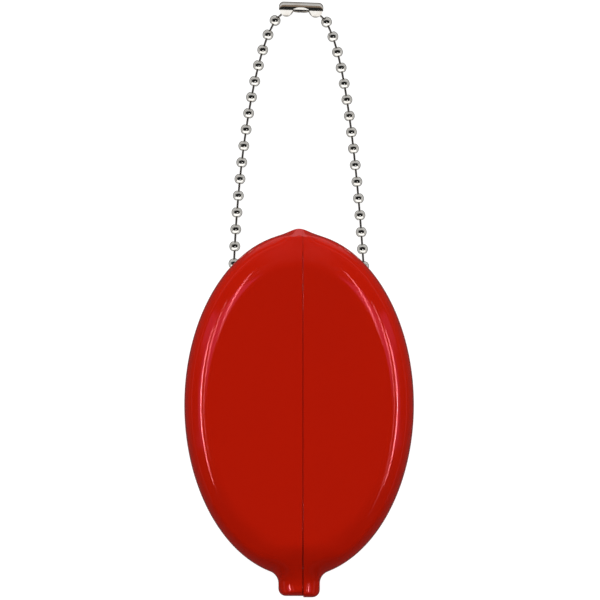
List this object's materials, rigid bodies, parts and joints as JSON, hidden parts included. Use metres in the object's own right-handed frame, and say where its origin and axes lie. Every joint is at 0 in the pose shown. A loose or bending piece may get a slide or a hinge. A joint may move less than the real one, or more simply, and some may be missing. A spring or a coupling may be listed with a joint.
{
  "type": "squeeze coin purse",
  "caption": "Oval moulded squeeze coin purse with a slit down its front that opens when the ends are pressed, carried on a ball chain loop.",
  "frame": {"origin": "middle of the flat back panel, on the purse's widest line", "axes": "+X right and +Y towards the chain as seen from the slit side, +Z out of the slit face"},
  "size_m": [0.051, 0.1324, 0.015],
  "materials": {
    "red_vinyl": "glossy flexible vinyl",
    "ball_steel": "bright nickel plate",
    "pin_steel": "bright nickel plate, drawn wire",
    "clasp_steel": "bright nickel plate, folded sheet"
  },
  "bodies": {
    "purse_back": {"back_shell": "red_vinyl", "left_rim_ball": "ball_steel", "right_rim_ball": "ball_steel", "hole_balls": "ball_steel", "hidden_balls": "ball_steel", "hidden_pins": "pin_steel"},
    "left_lip": {"left_lip": "red_vinyl"},
    "right_lip": {"right_lip": "red_vinyl"},
    "link_15": {"pins_15": "pin_steel"},
    "rung_15": {"left_ball_15": "ball_steel", "right_ball_15": "ball_steel"},
    "link_14": {"pins_14": "pin_steel"},
    "rung_14": {"left_ball_14": "ball_steel", "right_ball_14": "ball_steel"},
    "link_13": {"pins_13": "pin_steel"},
    "rung_13": {"left_ball_13": "ball_steel", "right_ball_13": "ball_steel"},
    "link_12": {"pins_12": "pin_steel"},
    "rung_12": {"left_ball_12": "ball_steel", "right_ball_12": "ball_steel"},
    "link_11": {"pins_11": "pin_steel"},
    "rung_11": {"left_ball_11": "ball_steel", "right_ball_11": "ball_steel"},
    "link_10": {"pins_10": "pin_steel"},
    "rung_10": {"left_ball_10": "ball_steel", "right_ball_10": "ball_steel"},
    "link_09": {"pins_09": "pin_steel"},
    "rung_09": {"left_ball_09": "ball_steel", "right_ball_09": "ball_steel"},
    "link_08": {"pins_08": "pin_steel"},
    "rung_08": {"left_ball_08": "ball_steel", "right_ball_08": "ball_steel"},
    "link_07": {"pins_07": "pin_steel"},
    "rung_07": {"left_ball_07": "ball_steel", "right_ball_07": "ball_steel"},
    "link_06": {"pins_06": "pin_steel"},
    "rung_06": {"left_ball_06": "ball_steel", "right_ball_06": "ball_steel"},
    "link_05": {"pins_05": "pin_steel"},
    "rung_05": {"left_ball_05": "ball_steel", "right_ball_05": "ball_steel"},
    "link_04": {"pins_04": "pin_steel"},
    "rung_04": {"left_ball_04": "ball_steel", "right_ball_04": "ball_steel"},
    "link_03": {"pins_03": "pin_steel"},
    "rung_03": {"left_ball_03": "ball_steel", "right_ball_03": "ball_steel"},
    "link_02": {"pins_02": "pin_steel"},
    "rung_02": {"left_ball_02": "ball_steel", "right_ball_02": "ball_steel"},
    "link_01": {"pins_01": "pin_steel"},
    "rung_01": {"left_ball_01": "ball_steel", "right_ball_01": "ball_steel"},
    "link_00": {"clasp_pins": "pin_steel"},
    "clasp": {"clasp": "clasp_steel", "clasp_ball_left": "ball_steel", "clasp_ball_right": "ball_steel"}
  },
  "joints": [
    {"name": "left_lip_flex", "type": "hinge", "parent": "purse_back", "child": "left_lip", "pos_m": [-0.0255, 0, 0.0075], "axis": [0, -1, 0], "range_deg": [0, 30], "stiffness_Nm_per_rad": 0.05},
    {"name": "right_lip_flex", "type": "hinge", "parent": "purse_back", "child": "right_lip", "pos_m": [0.0255, 0, 0.0075], "axis": [0, 1, 0], "range_deg": [0, 30], "stiffness_Nm_per_rad": 0.05},
    {"name": "pin_tilt_15", "type": "hinge", "parent": "purse_back", "child": "link_15", "pos_m": [-0.00006, 0.03115, 0.00121], "axis": [0.9998, -0.0207, 0], "range_deg": [-14, 14]},
    {"name": "chain_bend_15", "type": "hinge", "parent": "link_15", "child": "rung_15", "pos_m": [-0.0001, 0.03494, 0.00121], "axis": [0.9998, -0.0212, 0], "range_deg": [-14, 14]},
    {"name": "pin_tilt_14", "type": "hinge", "parent": "rung_15", "child": "link_14", "pos_m": [-0.0001, 0.03494, 0.00121], "axis": [-0.9998, 0.0212, 0], "range_deg": [-14, 14]},
    {"name": "chain_bend_14", "type": "hinge", "parent": "link_14", "child": "rung_14", "pos_m": [-0.00013, 0.03872, 0.00121], "axis": [-0.9998, 0.0217, 0], "range_deg": [-14, 14]},
    {"name": "pin_tilt_13", "type": "hinge", "parent": "rung_14", "child": "link_13", "pos_m": [-0.00013, 0.03872, 0.00121], "axis": [0.9998, -0.0217, 0], "range_deg": [-14, 14]},
    {"name": "chain_bend_13", "type": "hinge", "parent": "link_13", "child": "rung_13", "pos_m": [-0.00015, 0.04247, 0.00121], "axis": [0.9998, -0.0223, 0], "range_deg": [-14, 14]},
    {"name": "pin_tilt_12", "type": "hinge", "parent": "rung_13", "child": "link_12", "pos_m": [-0.00015, 0.04247, 0.00121], "axis": [-0.9998, 0.0223, 0], "range_deg": [-14, 14]},
    {"name": "chain_bend_12", "type": "hinge", "parent": "link_12", "child": "rung_12", "pos_m": [-0.00015, 0.0462, 0.00121], "axis": [-0.9997, 0.0228, 0], "range_deg": [-14, 14]},
    {"name": "pin_tilt_11", "type": "hinge", "parent": "rung_12", "child": "link_11", "pos_m": [-0.00015, 0.0462, 0.00121], "axis": [0.9997, -0.0228, 0], "range_deg": [-14, 14]},
    {"name": "chain_bend_11", "type": "hinge", "parent": "link_11", "child": "rung_11", "pos_m": [-0.00015, 0.04991, 0.00121], "axis": [0.9997, -0.0234, 0], "range_deg": [-14, 14]},
    {"name": "pin_tilt_10", "type": "hinge", "parent": "rung_11", "child": "link_10", "pos_m": [-0.00015, 0.04991, 0.00121], "axis": [-0.9997, 0.0234, 0], "range_deg": [-14, 14]},
    {"name": "chain_bend_10", "type": "hinge", "parent": "link_10", "child": "rung_10", "pos_m": [-0.00013, 0.0536, 0.00121], "axis": [-0.9997, 0.024, 0], "range_deg": [-14, 14]},
    {"name": "pin_tilt_09", "type": "hinge", "parent": "rung_10", "child": "link_09", "pos_m": [-0.00013, 0.0536, 0.00121], "axis": [0.9997, -0.024, 0], "range_deg": [-14, 14]},
    {"name": "chain_bend_09", "type": "hinge", "parent": "link_09", "child": "rung_09", "pos_m": [-0.00011, 0.05727, 0.00121], "axis": [0.9997, -0.0246, 0], "range_deg": [-14, 14]},
    {"name": "pin_tilt_08", "type": "hinge", "parent": "rung_09", "child": "link_08", "pos_m": [-0.00011, 0.05727, 0.00121], "axis": [-0.9997, 0.0246, 0], "range_deg": [-14, 14]},
    {"name": "chain_bend_08", "type": "hinge", "parent": "link_08", "child": "rung_08", "pos_m": [-0.00007, 0.06091, 0.00121], "axis": [-0.9997, 0.0252, 0], "range_deg": [-14, 14]},
    {"name": "pin_tilt_07", "type": "hinge", "parent": "rung_08", "child": "link_07", "pos_m": [-0.00007, 0.06091, 0.00121], "axis": [0.9997, -0.0252, 0], "range_deg": [-14, 14]},
    {"name": "chain_bend_07", "type": "hinge", "parent": "link_07", "child": "rung_07", "pos_m": [-0.00003, 0.06453, 0.00121], "axis": [0.9997, -0.0258, 0], "range_deg": [-14, 14]},
    {"name": "pin_tilt_06", "type": "hinge", "parent": "rung_07", "child": "link_06", "pos_m": [-0.00003, 0.06453, 0.00121], "axis": [-0.9997, 0.0258, 0], "range_deg": [-14, 14]},
    {"name": "chain_bend_06", "type": "hinge", "parent": "link_06", "child": "rung_06", "pos_m": [0.00002, 0.06812, 0.00121], "axis": [-0.9997, 0.0264, 0], "range_deg": [-14, 14]},
    {"name": "pin_tilt_05", "type": "hinge", "parent": "rung_06", "child": "link_05", "pos_m": [0.00002, 0.06812, 0.00121], "axis": [0.9997, -0.0264, 0], "range_deg": [-14, 14]},
    {"name": "chain_bend_05", "type": "hinge", "parent": "link_05", "child": "rung_05", "pos_m": [0.00008, 0.07168, 0.00121], "axis": [0.9996, -0.0271, 0], "range_deg": [-14, 14]},
    {"name": "pin_tilt_04", "type": "hinge", "parent": "rung_05", "child": "link_04", "pos_m": [0.00008, 0.07168, 0.00121], "axis": [-0.9996, 0.0271, 0], "range_deg": [-14, 14]},
    {"name": "chain_bend_04", "type": "hinge", "parent": "link_04", "child": "rung_04", "pos_m": [0.00015, 0.0752, 0.00121], "axis": [-0.9996, 0.0278, 0], "range_deg": [-14, 14]},
    {"name": "pin_tilt_03", "type": "hinge", "parent": "rung_04", "child": "link_03", "pos_m": [0.00015, 0.0752, 0.00121], "axis": [0.9996, -0.0278, 0], "range_deg": [-14, 14]},
    {"name": "chain_bend_03", "type": "hinge", "parent": "link_03", "child": "rung_03", "pos_m": [0.00022, 0.07867, 0.00121], "axis": [0.9996, -0.0285, 0], "range_deg": [-14, 14]},
    {"name": "pin_tilt_02", "type": "hinge", "parent": "rung_03", "child": "link_02", "pos_m": [0.00022, 0.07867, 0.00121], "axis": [-0.9996, 0.0285, 0], "range_deg": [-14, 14]},
    {"name": "chain_bend_02", "type": "hinge", "parent": "link_02", "child": "rung_02", "pos_m": [0.0003, 0.08207, 0.00121], "axis": [-0.9996, 0.0294, 0], "range_deg": [-14, 14]},
    {"name": "pin_tilt_01", "type": "hinge", "parent": "rung_02", "child": "link_01", "pos_m": [0.0003, 0.08207, 0.00121], "axis": [0.9996, -0.0294, 0], "range_deg": [-14, 14]},
    {"name": "chain_bend_01", "type": "hinge", "parent": "link_01", "child": "rung_01", "pos_m": [0.00038, 0.08529, 0.00121], "axis": [0.9995, -0.0307, 0], "range_deg": [-14, 14]},
    {"name": "pin_tilt_00", "type": "hinge", "parent": "rung_01", "child": "link_00", "pos_m": [0.00038, 0.08529, 0.00121], "axis": [-0.9995, 0.0307, 0], "range_deg": [-14, 14]},
    {"name": "chain_bend_00", "type": "hinge", "parent": "link_00", "child": "clasp", "pos_m": [0.00044, 0.08777, 0.00154], "axis": [-0.9994, 0.0349, 0], "range_deg": [-14, 14]}
  ],
  "couplings": [
    {"joint": "right_lip_flex", "follows": "left_lip_flex", "ratio": 1}
  ]
}
